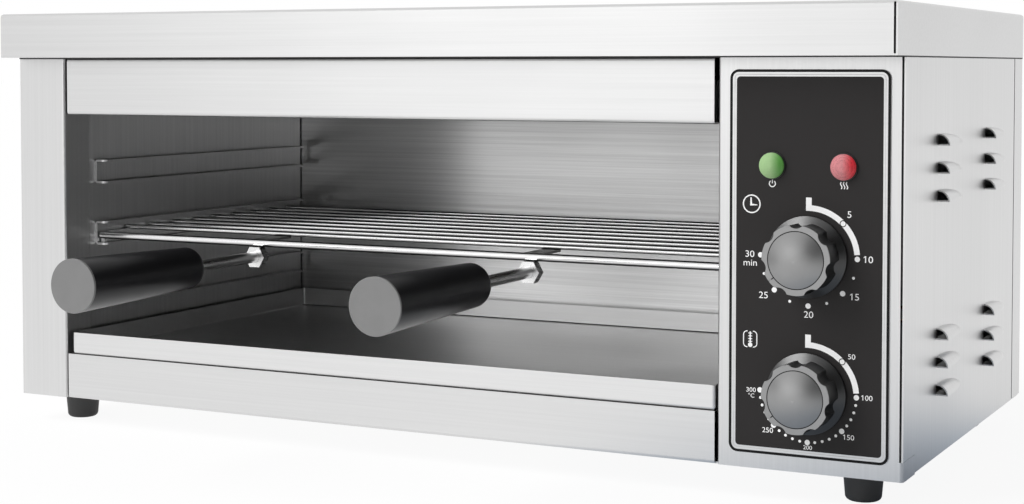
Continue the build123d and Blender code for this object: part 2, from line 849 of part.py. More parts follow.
# Sheet metal
save("top_cover", top_cover())
save("left_side_panel", left_side_panel())
save("right_side_panel", right_side_panel())
save("back_panel", back_panel())
save("rear_corner_strips", *[rear_corner_strip(x) for x in (sheet, body_w - 2 * sheet)])
save("base_pan", base_pan())
save("upper_fascia", upper_fascia())
save("control_front_panel", control_front_panel())
save("control_label", control_label())
save("chamber_left_wall", chamber_left_wall())
save("chamber_partition", chamber_partition())
save("chamber_back_wall", chamber_back_wall())
save("chamber_ceiling", chamber_ceiling())

# Guides and runners, left and right
guides = [rack_guide(bottom) for bottom in guide_bottoms]
save("left_rack_guides", *guides)
save("right_rack_guides", *[mirror_chamber(guide) for guide in guides])
save("left_tray_runner", tray_runner())
save("right_tray_runner", mirror_chamber(tray_runner()))

# Tray and rack
save("crumb_tray", crumb_tray())
save("wire_rack", wire_rack())
save("handle_straps", *[handle_strap(x) for x in handle_xs])
save("handle_studs", *[handle_stud(x) for x in handle_xs])
save("handle_nuts", *[handle_nut(x) for x in handle_xs])
for side, x in zip(("left", "right"), handle_xs):
    save(f"{side}_handle_grip", handle_grip(x))
    save(f"{side}_grip_end_cap", grip_end_cap(x))

# Controls
save("timer_body", timer_body())
save("thermostat_body", thermostat_body())
for name, z in (("timer", timer_z), ("thermostat", thermostat_z)):
    save(f"{name}_shaft", control_shaft(z))
    save(f"{name}_knob", knob_body(z))
    save(f"{name}_knob_cap", knob_cap(z))
save("thermostat_bulb", thermostat_bulb())
save("thermostat_capillary", thermostat_capillary())
clip_places = (bulb_start + clip_inset, bulb_start + bulb_len - clip_inset - clip_w)
save("bulb_clips", *[bulb_clip(x) for x in clip_places])
save("lamp_barrels", *[lamp_barrel(x) for x in lamp_xs])
save("power_lamp_lens", lamp_lens(lamp_xs[0]))
save("heat_lamp_lens", lamp_lens(lamp_xs[1]))

# Heating
save("front_heating_element", heating_element(0))
save("rear_heating_element", heating_element(1))
save("element_hangers", *[element_hanger(x) for x in hanger_places])
save("element_collars", *[element_collar(y) for y in element_ys])
save("element_terminals", *[element_terminal(y) for y in element_ys])

# Mains entry, feet and fasteners
save("terminal_block", terminal_block())
save("cable_gland", cable_gland())
save("gland_nut", gland_nut())
for name, place in zip(("front_left", "front_right", "rear_left", "rear_right"), foot_places):
    save(f"{name}_foot", foot(*place))
save("foot_screws", *[foot_screw(*place) for place in foot_places])
save("cover_screws", *[cover_screw(x) for x in cover_tab_xs])
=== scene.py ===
import math

import bmesh
import bpy
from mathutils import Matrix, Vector


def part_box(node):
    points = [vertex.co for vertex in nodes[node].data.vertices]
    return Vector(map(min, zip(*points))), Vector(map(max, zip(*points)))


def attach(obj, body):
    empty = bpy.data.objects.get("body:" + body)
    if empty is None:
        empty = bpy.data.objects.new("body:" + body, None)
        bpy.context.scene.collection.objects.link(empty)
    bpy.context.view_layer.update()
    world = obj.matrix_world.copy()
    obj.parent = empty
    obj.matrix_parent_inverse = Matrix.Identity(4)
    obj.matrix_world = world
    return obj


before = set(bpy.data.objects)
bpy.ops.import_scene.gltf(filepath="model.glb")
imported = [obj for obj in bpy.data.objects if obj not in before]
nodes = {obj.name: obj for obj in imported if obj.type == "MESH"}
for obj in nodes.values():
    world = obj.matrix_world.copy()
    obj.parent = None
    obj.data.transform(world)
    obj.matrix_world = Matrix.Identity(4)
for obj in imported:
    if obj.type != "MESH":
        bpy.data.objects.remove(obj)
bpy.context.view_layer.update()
MM = 0.001
WHITE = (1, 1, 1, 1)

# The cabinet's left, front, lower corner of sheet metal: the part's places are in millimetres from there
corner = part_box("left_side_panel")[0]


def at(x, y, z):
    """Point in the part's frame from cabinet millimetres."""
    return corner + Vector((x, y, z)) * MM


def place(node):
    """Low and high corner of a solid, in cabinet millimetres."""
    low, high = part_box(node)
    return (low - corner) / MM, (high - corner) / MM


def middle(node):
    """Middle of a solid's box, in cabinet millimetres."""
    low, high = place(node)
    return (low + high) / 2


# Places read from the solids
label_low, label_high = place("control_label")
label_mid = middle("control_label")
label_face = label_low.y
label_w = label_high.x - label_low.x
label_h = label_high.z - label_low.z
dial_x = middle("timer_shaft").x
dial_z = {dial: middle(dial + "_shaft").z for dial in ("timer", "thermostat")}
lamp_low, lamp_high = place("lamp_barrels")
lamp_z = (lamp_low.z + lamp_high.z) / 2
lamp_r = (lamp_high.z - lamp_low.z) / 2
lamp_us = (lamp_low.x + lamp_r - dial_x, lamp_high.x - lamp_r - dial_x)

# Label: border, crease and black field, one print thickness proud of its face
print_t = 0.08
border_w = 1.5
border_r = 5.0
crease_inset = 2.6
crease_w = 0.35
field_inset = 3.9
field_r = 2.1
field_face = label_face - print_t
shaft_hole_r = 4.6
lamp_hole_r = 6.2

# Dial print on the black field: dots, band with its off mark, and numbers; angles are degrees from the top
dial_shift = 0.5
dot_ring_u = 27.4
dot_ring_v = 26.9
dot_step = 45
first_dot = 90
last_dot = 270
dot_r = 1.5
small_dot_r = 0.8
ring_r = 1.85
ring_line = 0.42
band_half = 1.55
band_end = 85
band_step = 5
tick_left = -1.0
tick_right = 2.2
tick_top = 32.6
timer_text = 5.2
thermostat_text = 4.0
text_wide = 1.09

# Flag of a printed 1, as shares of the text's size
flag_w = 0.16
flag_drop = 0.13
flag_line = 0.1


# Colours and shaders
def linear(code):
    """Linear colour for a shader from its usual six-digit screen code."""
    parts = [int(code[i:i + 2], 16) / 255 for i in (0, 2, 4)]
    return tuple(c / 12.92 if c <= 0.04045 else ((c + 0.055) / 1.055) ** 2.4 for c in parts) + (1.0,)


def scaled(colour, factor):
    """The colour made darker or lighter by a factor."""
    return tuple(min(1.0, c * factor) for c in colour[:3]) + (1.0,)


def along(axis, amount):
    """Scale of a noise that is drawn out along one axis, or along none."""
    return [amount if name == axis else 1.0 for name in "XYZ"]


# Range of nearly all values of a noise, and the narrower one over which a colour changes its tone
noise_low = 0.3
noise_high = 0.7
tone_low = 0.35
tone_high = 0.65


class Shader:
    """A material with a main shader, and short ways to add and join nodes."""

    def __init__(self, name):
        self.mat = bpy.data.materials.new(name)
        self.mat.use_nodes = True
        self.tree = self.mat.node_tree
        self.bsdf = self.tree.nodes["Principled BSDF"]
        self.coord = None

    def node(self, kind, **values):
        """New node, with its settings and socket values by name, underscores for spaces."""
        made = self.tree.nodes.new(kind)
        for key, value in values.items():
            if hasattr(made, key):
                setattr(made, key, value)
            else:
                made.inputs[key.replace("_", " ")].default_value = value
        return made

    def link(self, out, inp):
        self.tree.links.new(out, inp)

    def set(self, **values):
        """Constants on the main shader's sockets."""
        for key, value in values.items():
            self.bsdf.inputs[key.replace("_", " ")].default_value = value

    def feed(self, out, socket):
        """Lead a value into one of the main shader's sockets."""
        self.link(out, self.bsdf.inputs[socket])

    def point(self, kind="Object"):
        """Place of the shaded point, in the part's own space or as shares of the piece's box."""
        if self.coord is None:
            self.coord = self.node("ShaderNodeTexCoord")
        return self.coord.outputs[kind]

    def axis(self, vector, name):
        """One coordinate of a vector."""
        split = self.node("ShaderNodeSeparateXYZ")
        self.link(vector, split.inputs["Vector"])
        return split.outputs[name]

    def join(self, operation, first, second, kind="ShaderNodeMath"):
        """Two values joined by an operation, or two vectors with the vector kind of node."""
        made = self.node(kind, operation=operation)
        self.link(first, made.inputs[0])
        self.link(second, made.inputs[1])
        return made.outputs[0]

    def noise(self, scale, detail=2.0, rough=0.5, stretch=(1, 1, 1)):
        """Noise in the part's own space, stretched along an axis where stretch is small."""
        mapping = self.node("ShaderNodeMapping", Scale=stretch)
        self.link(self.point(), mapping.inputs["Vector"])
        tex = self.node("ShaderNodeTexNoise", Scale=scale, Detail=detail, Roughness=rough)
        self.link(mapping.outputs["Vector"], tex.inputs["Vector"])
        return tex.outputs["Fac"]

    def ramp(self, fac, *stops):
        """Colour ramp between (place, colour) stops."""
        ramp = self.node("ShaderNodeValToRGB")
        elements = ramp.color_ramp.elements
        for i, (pos, colour) in enumerate(stops):
            element = elements[i] if i < 2 else elements.new(pos)
            element.position = pos
            element.color = colour
        self.link(fac, ramp.inputs["Fac"])
        return ramp.outputs["Color"]

    def spread(self, value, **limits):
        """The value mapped from one range to another."""
        mapped = self.node("ShaderNodeMapRange", **limits)
        self.link(value, mapped.inputs["Value"])
        return mapped.outputs["Result"]

    def cloudy_rough(self, noise, low, high):
        """Roughness that follows a noise between two limits."""
        rough = self.spread(noise, interpolation_type="SMOOTHSTEP", From_Min=noise_low, From_Max=noise_high,
                            To_Min=low, To_Max=high)
        self.feed(rough, "Roughness")

    def smear(self, grain, amount):
        """Stretch reflections across the grain."""
        tangent = self.node("ShaderNodeTangent", direction_type="RADIAL", axis=grain)
        self.feed(tangent.outputs["Tangent"], "Tangent")
        self.set(Anisotropic=amount)

    def bump(self, fac, strength, depth):
        """Fine relief that follows a value, with its depth in metres."""
        bump = self.node("ShaderNodeBump", Strength=strength, Distance=depth)
        self.link(fac, bump.inputs["Height"])
        self.feed(bump.outputs["Normal"], "Normal")


# Grain of brushed sheet: scales of its noises, how far its lines are drawn out, and the depths of two grades
line_scale = 1100
band_scale = 420
cloud_scale = 7
sheet_stretch = 0.008
sheet_bump = 0.2
mean_share = 0.5
fine_grain = 0.006 * MM
deep_grain = 0.012 * MM


def brushed_steel(name, grain, dark, light, rough, depth, smear=0.0):
    """Brushed stainless sheet: fine lines along the grain axis, with soft clouds of roughness."""
    s = Shader(name)
    stretch = along(grain, sheet_stretch)
    lines = s.noise(line_scale, detail=3.0, rough=0.65, stretch=stretch)
    bands = s.noise(band_scale, stretch=stretch)
    mean = s.node("ShaderNodeMath", operation="MULTIPLY")
    mean.inputs[1].default_value = mean_share
    s.link(s.join("ADD", lines, bands), mean.inputs[0])
    s.feed(s.ramp(mean.outputs["Value"], (tone_low, linear(dark)), (tone_high, linear(light))), "Base Color")
    s.cloudy_rough(s.noise(cloud_scale), *rough)
    s.bump(lines, sheet_bump, depth)
    s.smear(grain, smear)
    s.set(Metallic=1.0)
    return s.mat


# Drawn, plated and turned metal: scale and stretch of its spots, how dark they get, and how rough and deep
spot_scale = 300
spot_stretch = 0.03
spot_shade = 0.88
spot_rough = 0.15
spot_bump = 0.05
spot_depth = 0.02 * MM


def spotted_metal(name, rough, grain):
    """Shader of bare metal with faint spots, or streaks along an axis, and the spots themselves."""
    s = Shader(name)
    spots = s.noise(spot_scale, detail=3.0, rough=0.6, stretch=along(grain, spot_stretch))
    s.cloudy_rough(spots, rough * (1 - spot_rough), rough * (1 + spot_rough))
    s.bump(spots, spot_bump, spot_depth)
    s.set(Metallic=1.0)
    return s, spots


def plain_metal(name, colour, rough, grain=None):
    """Drawn, plated or turned metal, darker in its spots."""
    s, spots = spotted_metal(name, rough, grain)
    bright = linear(colour)
    s.feed(s.ramp(spots, (noise_low, scaled(bright, spot_shade)), (noise_high, bright)), "Base Color")
    return s.mat


# Height of the wire's surface normal where its painted shade underneath is full, and where it ends
wire_shade_full = -0.85
wire_shade_none = 0.0


def bright_wire(name, top, under, rough):
    """Bright wire with painted shade on its underside, darker where its surface faces down, and faint drawing
    lines.
    """
    s, lines = spotted_metal(name, rough, "X")
    normal_z = s.axis(s.node("ShaderNodeNewGeometry").outputs["Normal"], "Z")
    level = s.spread(normal_z, interpolation_type="SMOOTHSTEP", From_Min=wire_shade_full, From_Max=wire_shade_none)
    s.feed(s.ramp(level, (0.0, linear(under)), (1.0, linear(top))), "Base Color")
    return s.mat


# Moulded plastic: scale and depth of its spark texture, and what its mottle changes
spark_scale = 1500
spark_depth = 0.02 * MM
spark_bump = 0.15
mottle_scale = 90
mottle_light = 1.06
mottle_rough = 0.05


def moulded(name, colour, rough, scale=spark_scale, depth=spark_depth, gloss=0.5, metal=0.0):
    """Moulded plastic or rubber: fine spark texture with a slight mottle."""
    s = Shader(name)
    mottle = s.noise(mottle_scale)
    base = linear(colour)
    s.feed(s.ramp(mottle, (tone_low, base), (tone_high, scaled(base, mottle_light))), "Base Color")
    s.cloudy_rough(mottle, rough * (1 - mottle_rough), rough * (1 + mottle_rough))
    s.bump(s.noise(scale, rough=0.6), spark_bump, depth)
    s.set(Metallic=metal, Specular_IOR_Level=gloss)
    return s.mat


def printed(name, colour, rough=0.5):
    """Smooth face of the label and its print."""
    return moulded(name, colour, rough, scale=2500, depth=0.006 * MM, gloss=0.2)


# Lamp lens: where its painted light, pale at the left, gives way to its deep colour at the right, and the
# edges and depth of its dots
painted_light_start = 0.5
painted_light_end = 0.85
dot_inner = 0.25
dot_outer = 0.45
dot_bump = 0.1
dot_depth = 0.05 * MM


def lens(name, pale, deep, pitch, strength):
    """Tinted lens with painted light that makes it paler to the left, and a fine pattern of dots moulded
    behind its face.
    """
    s = Shader(name)
    dots = s.node("ShaderNodeTexVoronoi", Scale=1 / (pitch * MM), Randomness=0.3)
    s.link(s.point(), dots.inputs["Vector"])
    distance = dots.outputs["Distance"]
    painted_light = s.ramp(s.axis(s.point("Generated"), "X"), (painted_light_start, linear(pale)), (painted_light_end, linear(deep)))
    speck = s.ramp(distance, (dot_inner, scaled(WHITE, 1 - strength)), (dot_outer, WHITE))
    s.feed(s.join("MULTIPLY", painted_light, speck, "ShaderNodeVectorMath"), "Base Color")
    s.bump(distance, dot_bump, dot_depth)
    s.set(Roughness=0.4, Specular_IOR_Level=0.35)
    return s.mat


# The part's materials, with screen codes for colours and roughness from nought to one
outer_rough = (0.365, 0.395)
chamber_rough = (0.285, 0.34)
steel_x = brushed_steel("steel_brushed_x", "X", "d2d2d2", "d8d8d8", outer_rough, fine_grain)
tray_steel = brushed_steel("tray_steel", "X", "d6d6d6", "dcdcdc", chamber_rough, fine_grain)
steel_z = brushed_steel("steel_brushed_z", "Z", "d2d2d2", "d8d8d8", outer_rough, fine_grain)
chamber_x = brushed_steel("chamber_steel_x", "X", "d2d2d2", "eaeaea", chamber_rough, deep_grain, smear=0.75)
chamber_z = brushed_steel("chamber_steel_z", "Z", "d2d2d2", "dedede", chamber_rough, deep_grain, smear=0.4)
# Rack wire: light on top, with painted shade on its underside
wire = bright_wire("bright_wire", "e6e6e6", "2c2c2c", 0.2)
stud_steel = plain_metal("stud_steel", "e4e4e4", 0.28, "Y")
strap_steel = plain_metal("strap_steel", "868684", 0.35)
zinc = plain_metal("zinc_plate", "c8c8c6", 0.24)
tinted = plain_metal("heat_tinted_steel", "3a3836", 0.4, "X")
sheath = plain_metal("element_sheath", "5a5654", 0.45)
copper = plain_metal("copper_tube", "b9805c", 0.3)
black_grip = moulded("black_grip", "1b1b1d", 0.3, gloss=0.3)
black_knob = moulded("black_knob", "080809", 0.38, gloss=1.0)
grey_cap = moulded("grey_cap", "7e7e7e", 0.6, gloss=0.2)
knob_grey = moulded("knob_grey", "969696", 0.42, gloss=0.4, metal=0.9)
case_grey = moulded("case_grey", "b0b0ac", 0.5)
terminal_white = moulded("terminal_white", "dcd8cc", 0.5)
gland_black = moulded("gland_black", "242424", 0.45)
rubber = moulded("foot_rubber", "404040", 0.62, scale=900, depth=0.06 * MM, gloss=0.3)
lamp_black = moulded("lamp_barrel", "161616", 0.3)
label_black = printed("label_black", "272525")
label_line = printed("label_line", "0e0e0e")
label_silver = printed("label_silver", "c4c4c4")
label_white = printed("label_white", "f0f0f0", 0.55)
# Lamp lenses: the pale colour at the left is painted light, and the deep one is the lens's own tint
lens_green = lens("lens_green", "93b480", "589446", pitch=0.9, strength=0.06)
lens_red = lens("lens_red", "c47c80", "d2343e", pitch=0.75, strength=0.4)

finish = {
    steel_x: ["top_cover", "upper_fascia", "base_pan", "control_label", "back_panel"],
    tray_steel: ["crumb_tray"],
    steel_z: ["left_side_panel", "right_side_panel", "control_front_panel"],
    chamber_x: ["chamber_back_wall"],
    tinted: ["chamber_ceiling", "element_hangers", "bulb_clips"],
    chamber_z: [
        "chamber_left_wall", "chamber_partition", "left_rack_guides", "right_rack_guides",
        "left_tray_runner", "right_tray_runner",
    ],
    wire: ["wire_rack"],
    stud_steel: ["handle_studs", "handle_nuts", "timer_shaft", "thermostat_shaft"],
    zinc: ["element_collars", "element_terminals", "foot_screws", "cover_screws"],
    strap_steel: ["handle_straps"],
    sheath: ["front_heating_element", "rear_heating_element"],
    copper: ["thermostat_bulb", "thermostat_capillary"],
    black_grip: ["left_handle_grip", "right_handle_grip"],
    black_knob: ["timer_knob", "thermostat_knob"],
    grey_cap: ["left_grip_end_cap", "right_grip_end_cap"],
    knob_grey: ["timer_knob_cap", "thermostat_knob_cap"],
    case_grey: ["timer_body", "thermostat_body"],
    terminal_white: ["terminal_block"],
    gland_black: ["cable_gland", "gland_nut"],
    rubber: [
        # The rear corner strips are dark rubber set in the rear corner seams as painted shade
        "front_left_foot", "front_right_foot", "rear_left_foot", "rear_right_foot", "rear_corner_strips",
    ],
    lamp_black: ["lamp_barrels"],
    lens_green: ["power_lamp_lens"],
    lens_red: ["heat_lamp_lens"],
}


def paint(data, mat):
    """Give a mesh one material."""
    data.materials.clear()
    data.materials.append(mat)


for mat, names in finish.items():
    for name in names:
        paint(nodes[name].data, mat)


# Meshes of flat print, and the pieces made of them
def add_object(name, data):
    """New object in the scene."""
    made = bpy.data.objects.new(name, data)
    bpy.context.scene.collection.objects.link(made)
    return made


def upright(curve, x, y, z, wide=1.0):
    """Mesh of a flat curve turned to face the front, with its origin at a cabinet point."""
    made = add_object(curve.name, curve)
    made.rotation_euler = (math.pi / 2, 0, 0)
    made.location = at(x, y, z)
    made.scale.x = wide
    bpy.context.view_layer.update()
    graph = bpy.context.evaluated_depsgraph_get()
    mesh = bpy.data.meshes.new_from_object(made.evaluated_get(graph))
    mesh.transform(made.matrix_world)
    bpy.data.objects.remove(made)
    return mesh


def drawing(outlines, x=dial_x, z=0.0, face=field_face):
    """Mesh of closed outlines, in millimetres right of x and above z, one print thickness proud of a face."""
    curve = bpy.data.curves.new("drawing", "CURVE")
    curve.dimensions = "2D"
    curve.fill_mode = "BOTH"
    curve.extrude = print_t / 2 * MM
    for outline in outlines:
        spline = curve.splines.new("POLY")
        spline.points.add(len(outline) - 1)
        for point, (u, v) in zip(spline.points, outline):
            point.co = (u * MM, v * MM, 0, 1)
        spline.use_cyclic_u = True
    return upright(curve, x, face - print_t / 2, z)


def lettering(text, x, z, size):
    """Meshes of a few characters, centred on a point of the label, with a flag on a leading 1."""
    curve = bpy.data.curves.new("text", "FONT")
    curve.body = text
    curve.size = size * MM
    curve.align_x = "CENTER"
    curve.align_y = "CENTER"
    curve.extrude = print_t / 2 * MM
    mesh = upright(curve, x, field_face - print_t / 2, z, text_wide)
    if not text.startswith("1"):
        return [mesh]
    left = (min(v.co.x for v in mesh.vertices) - corner.x) / MM
    top = (max(v.co.z for v in mesh.vertices) - corner.z) / MM
    flag = [(0, 0), (0, -flag_line), (-flag_w, -flag_drop - flag_line), (-flag_w, -flag_drop)]
    outline = [(u * size, v * size) for u, v in flag]
    return [mesh, drawing([outline], left, top)]


def piece(name, meshes, mat, body):
    """One object from several meshes, riding on a body."""
    bm = bmesh.new()
    for mesh in meshes:
        bm.from_mesh(mesh)
        bpy.data.meshes.remove(mesh)
    data = bpy.data.meshes.new(name)
    bm.to_mesh(data)
    bm.free()
    paint(data, mat)
    made = add_object(name, data)
    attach(made, body)


# Outlines, in millimetres right of and above a middle point
def circle(r, u=0.0, v=0.0, steps=48):
    """Circle about a point."""
    angles = [math.tau * k / steps for k in range(steps)]
    return [(u + r * math.cos(a), v + r * math.sin(a)) for a in angles]


def arc(r, start, end, u=0.0, v=0.0, steps=24):
    """Points on a circle between two clockwise angles from the top."""
    angles = [math.radians(start + (end - start) * k / steps) for k in range(steps + 1)]
    return [(u + r * math.sin(a), v + r * math.cos(a)) for a in angles]


def bar(u0, u1, v0, v1):
    """Rectangle between its sides."""
    return [(u0, v0), (u1, v0), (u1, v1), (u0, v1)]


def rounded(width, height, r, v, steps=8):
    """Rectangle with round corners, its middle at height v."""
    across = width / 2 - r
    up = height / 2 - r
    points = []
    for start, cu, cv in ((90, across, up), (0, -across, up), (270, -across, -up), (180, across, -up)):
        points += arc(r, start, start - 90, cu, v + cv, steps)
    return points


def stroke(points, width):
    """Outline of a line of even width through the points."""
    left = []
    right = []
    for k, (u, v) in enumerate(points):
        before = points[max(k - 1, 0)]
        after = points[min(k + 1, len(points) - 1)]
        along_line = Vector((after[0] - before[0], after[1] - before[1])).normalized() * width / 2
        left.append((u - along_line.y, v + along_line.x))
        right.append((u + along_line.y, v - along_line.x))
    return left + right[::-1]


# Border, crease and black field of the control label
def label_frame(inset, width):
    """Two outlines of an even line inside the label's edge."""
    lines = []
    for depth in (inset, inset + width):
        lines.append(rounded(label_w - 2 * depth, label_h - 2 * depth, border_r - depth, label_mid.z))
    return lines


def label_field():
    """The black field, with holes for the shafts and lamps."""
    outlines = [rounded(label_w - 2 * field_inset, label_h - 2 * field_inset, field_r, label_mid.z)]
    for z in dial_z.values():
        outlines.append(circle(shaft_hole_r, dial_x - label_mid.x, z))
    for u in lamp_us:
        outlines.append(circle(lamp_hole_r, dial_x + u - label_mid.x, lamp_z))
    return outlines


for name, outlines, mat in (
    ("label_border", label_frame(0, border_w), label_line),
    ("label_crease", label_frame(crease_inset, crease_w), label_silver),
    ("label_field", label_field(), label_black),
):
    piece(name, [drawing(outlines, label_mid.x, face=label_face)], mat, "cabinet")


# Dial print: band with its off mark, dots and numbers
def on_ring(degrees, grow=0.0):
    """Point of the dot ring at a clockwise angle from the top, from the dial's middle."""
    a = math.radians(degrees)
    return (dial_shift + (dot_ring_u + grow) * math.sin(a), (dot_ring_v + grow) * math.cos(a))


def dial_band():
    """Bent band from the off mark at the top to its end at the right."""
    start = math.degrees(math.asin((tick_right - dial_shift) / dot_ring_u))
    angles = range(0, band_end + 1, band_step)
    band = [(tick_left, tick_top), (tick_left, dot_ring_v - band_half)]
    band += [on_ring(a, -band_half) for a in angles]
    band += [on_ring(a, band_half) for a in reversed(angles) if a > start]
    band += [(tick_right, on_ring(start, band_half)[1]), (tick_right, tick_top)]
    return band


def dial_dots(between):
    """Dots at the numbers, with some small ones between each two."""
    dots = []
    for angle in range(first_dot, last_dot + 1, dot_step):
        dots.append(circle(dot_r, *on_ring(angle), steps=24))
    for angle in range(first_dot, last_dot, dot_step):
        for k in range(1, between + 1):
            dots.append(circle(small_dot_r, *on_ring(angle + dot_step * k / (between + 1)), steps=16))
    return dots


def dial_print(name, z, text_size, between, words):
    """Scale round a dial. A word has its text, place right of and above the dial, and share of the size."""
    meshes = [drawing([shape], z=z) for shape in [dial_band()] + dial_dots(between)]
    for text, u, v, share in words:
        meshes += lettering(text, dial_x + u, z + v, text_size * share)
    piece(name, meshes, label_white, "cabinet")
    spot = on_ring(dot_step)
    ring = [circle(ring_r, *spot, steps=32), circle(ring_r - ring_line, *spot, steps=32)]
    piece(name + "_ring", [drawing(ring, z=z, face=field_face - print_t)], label_line, "cabinet")


dial_print("timer_scale", dial_z["timer"], timer_text, between=1, words=[
    ("5", 23.4, 23.9, 1.0), ("10", 33.9, -0.1, 1.0), ("15", 26.5, -20.7, 1.0), ("20", 0.8, -31.8, 1.0),
    ("25", -25.1, -22.4, 1.0), ("30", -33.2, 0.1, 1.0), ("min", -32.9, -4.7, 1.0),
])
dial_print("thermostat_scale", dial_z["thermostat"], thermostat_text, between=4, words=[
    ("50", 25.1, 21.9, 1.0), ("100", 33.7, 0.1, 1.0), ("150", 23.7, -22.2, 1.0), ("200", 0.7, -29.8, 0.8),
    ("250", -22.3, -22.2, 1.0), ("300", -32.1, -0.4, 0.9), ("°C", -31.9, -3.6, 0.8),
])

# Painted shade in the groove round each knob's dome, and dark print for its pointer, with the knob's sizes as
# in the solids
cap_t = 1.0
dome_r = 15.4
groove_w = 0.5
groove_floor = 0.4
pointer_angle = 231.4
pointer_w = 0.6
pointer_end = 17.4


def knob_shade_and_pointer():
    """Outlines of the groove's painted shade, and of the pointer turned clockwise from the top to its
    setting.
    """
    groove = [circle(dome_r + groove_w, steps=96), circle(dome_r, steps=96)]
    turn = math.radians(-pointer_angle)
    pointer = []
    for u, v in bar(-pointer_w / 2, pointer_w / 2, dome_r + groove_w, pointer_end):
        pointer.append((u * math.cos(turn) - v * math.sin(turn), u * math.sin(turn) + v * math.cos(turn)))
    return groove, [pointer]


for dial, z in dial_z.items():
    cap_back = place(dial + "_knob_cap")[1].y
    floor_y = cap_back - cap_t + groove_floor
    meshes = [drawing(outlines, z=z, face=floor_y) for outlines in knob_shade_and_pointer()]
    piece(dial + "_knob_shade_and_pointer", meshes, label_line, dial + "_dial")

# Signs beside the dials: their places right of the dials and above the cabinet's lower edge, and their sizes
clock_place = (-32.2, 147.5)
clock_r = 5.2
clock_line = 0.72
clock_hands = [(-0.9, -0.95), (3.3, -0.7), (3.3, -0.35), (0.2, 0.1), (-0.05, 3.6), (-0.75, 3.6)]
gauge_place = (-32.7, 72.2)
gauge_w = 8.3
gauge_h = 9.4
gauge_r = 2.0
gauge_line = 0.55
gauge_open = 1.6
bulb_r = 1.3
bulb_v = -3.2
stem_w = 0.75
stem_top = 4.2
stem_sunk = 0.13
scale_w = 2.3
scale_line = 0.45
scale_vs = (3.3, 1.75, 0.2, -1.3)

# Signs for power and heat under the lamps
lamp_sign_z = 159.1
lamp_sign_line = 0.55
power_r = 1.75
power_gap = 38.0
power_bar_low = 0.1
power_bar_over = 0.4
wave_h = 3.8
wave_swing = 0.4
wave_pitch = 1.6
wave_steps = 16


def sign(name, outline_sets, u, z):
    """White sign on the black field, right of the dials' middle and at a height."""
    meshes = [drawing(outlines, dial_x + u, z) for outlines in outline_sets]
    piece(name, meshes, label_white, "cabinet")


def clock_sign():
    """A clock face with two hands."""
    return [[circle(clock_r), circle(clock_r - clock_line)], [clock_hands]]


def temperature_sign():
    """A thermometer with four marks, between two brackets with round corners."""
    edge = gauge_w / 2 - gauge_line / 2
    rise = gauge_h / 2 - gauge_line / 2
    bracket = [(gauge_open, rise)]
    bracket += arc(gauge_r, 0, 90, edge - gauge_r, rise - gauge_r, steps=8)
    bracket += arc(gauge_r, 90, 180, edge - gauge_r, gauge_r - rise, steps=8)
    bracket += [(gauge_open, -rise)]
    parts = [
        [circle(bulb_r, 0, bulb_v, steps=24)],
        [bar(-stem_w / 2, stem_w / 2, bulb_v + bulb_r - stem_sunk, stem_top)],
    ]
    for side in (-1, 1):
        parts.append([stroke([(side * u, v) for u, v in bracket], gauge_line)])
        ends = sorted((side * stem_w / 2, side * scale_w / 2))
        for v in scale_vs:
            parts.append([bar(*ends, v - scale_line / 2, v + scale_line / 2)])
    return parts


def power_sign():
    """An open ring with a bar in its gap."""
    return [
        [stroke(arc(power_r, power_gap, 360 - power_gap), lamp_sign_line)],
        [bar(-lamp_sign_line / 2, lamp_sign_line / 2, power_bar_low, power_r + power_bar_over)],
    ]


def heat_sign():
    """Three rising waves."""
    waves = []
    shares = [k / wave_steps for k in range(wave_steps + 1)]
    for u in (-wave_pitch, 0, wave_pitch):
        line = [(u + wave_swing * math.sin(math.tau * t), wave_h * (t - 0.5)) for t in shares]
        waves.append([stroke(line, lamp_sign_line)])
    return waves


sign("clock_sign", clock_sign(), *clock_place)
sign("temperature_sign", temperature_sign(), *gauge_place)
sign("power_sign", power_sign(), lamp_us[0], lamp_sign_z)
sign("heat_sign", heat_sign(), lamp_us[1], lamp_sign_z)

# Painted shade in the joint under the top cover: a dark strip set in from the outside of the sheets
joint_shade_inset = 0.2
joint_shade_w = 0.7


def cover_joint_shade():
    """Mesh of a ring of four sides, whose section goes round four rims."""
    cover_low, cover_high = place("top_cover")
    low = place("upper_fascia")[1].z
    high = cover_low.z
    outer, inner = (
        bar(inset, cover_high.x - inset, inset, cover_high.y - inset)
        for inset in (joint_shade_inset, joint_shade_inset + joint_shade_w)
    )
    section = ((outer, low), (outer, high), (inner, high), (inner, low))
    points = [at(x, y, z) for outline, z in section for x, y in outline]
    corners = len(outer)
    faces = []
    for rim in range(len(section)):
        here = corners * rim
        there = corners * ((rim + 1) % len(section))
        for k in range(corners):
            after = (k + 1) % corners
            faces.append((here + k, here + after, there + after, there + k))
    mesh = bpy.data.meshes.new("cover_joint_shade")
    mesh.from_pydata(points, [], faces)
    return mesh


piece("cover_joint_shade", [cover_joint_shade()], rubber, "cabinet")

# Studio floor, in metres: its white share to the camera and in reflections, and a shade that only those show
floor_size = 40.0
floor_grey = (0.9, 0.9, 0.9, 1)
floor_seen = 0.92
floor_mirrored = 0.9
shade_spot = at(650, 60, 0)
shade_spot.z = 0.0
shade_reach = 0.3
shade_near = (0.05, 0.07, 0.11, 1)
shade_half = (0.4, 0.46, 0.54, 1)
mirrored_glow = 1.1


def seen_directly(tree):
    """One for camera, mirror and see-through rays, nought for the light that spreads."""
    path = tree.nodes.new("ShaderNodeLightPath")
    seen = path.outputs["Is Camera Ray"]
    for name in ("Is Glossy Ray", "Is Transmission Ray"):
        either = tree.nodes.new("ShaderNodeMath")
        either.operation = "MAXIMUM"
        tree.links.new(seen, either.inputs[0])
        tree.links.new(path.outputs[name], either.inputs[1])
        seen = either.outputs["Value"]
    return seen


